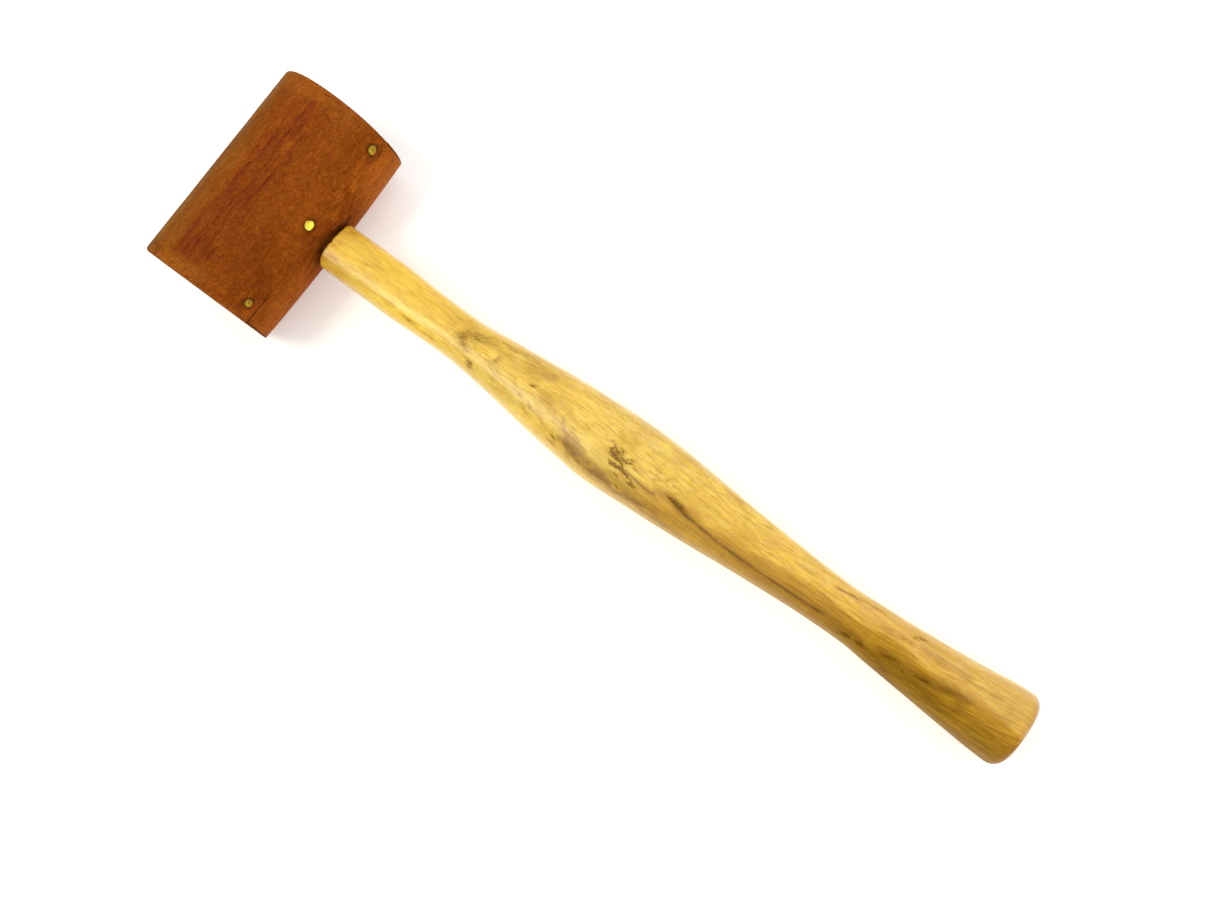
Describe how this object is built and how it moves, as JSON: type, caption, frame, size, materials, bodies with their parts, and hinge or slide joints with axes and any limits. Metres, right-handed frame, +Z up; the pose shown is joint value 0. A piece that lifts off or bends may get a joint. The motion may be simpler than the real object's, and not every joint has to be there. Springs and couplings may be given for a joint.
{
  "type": "rawhide mallet",
  "caption": "Rolled rawhide mallet: a cylindrical head of coiled hide nailed to a shaped hardwood handle, for striking tools and finished surfaces without marring them.",
  "frame": {"origin": "middle of the bounding box, at its lowest level, with the mallet lying on its side and the head resting on Z = 0", "axes": "+X along the handle from the head to the butt, +Y along the head's axis through the right-hand striking face, +Z up through the side of the head that shows the nails"},
  "size_m": [0.3346, 0.0804, 0.0506],
  "materials": {
    "rawhide": "waxed hide, soft satin with fine mottled grain",
    "handle_wood": "varnished straight-grained hardwood, semi-gloss",
    "wedge_wood": "bare hardwood, matte",
    "brass": "filed flush, slightly tarnished"
  },
  "bodies": {
    "root": {"rawhide_roll": "rawhide", "handle": "handle_wood", "tenon_wedge": "wedge_wood", "handle_nail": "brass", "end_nail_right": "brass", "end_nail_left": "brass"}
  },
  "joints": []
}
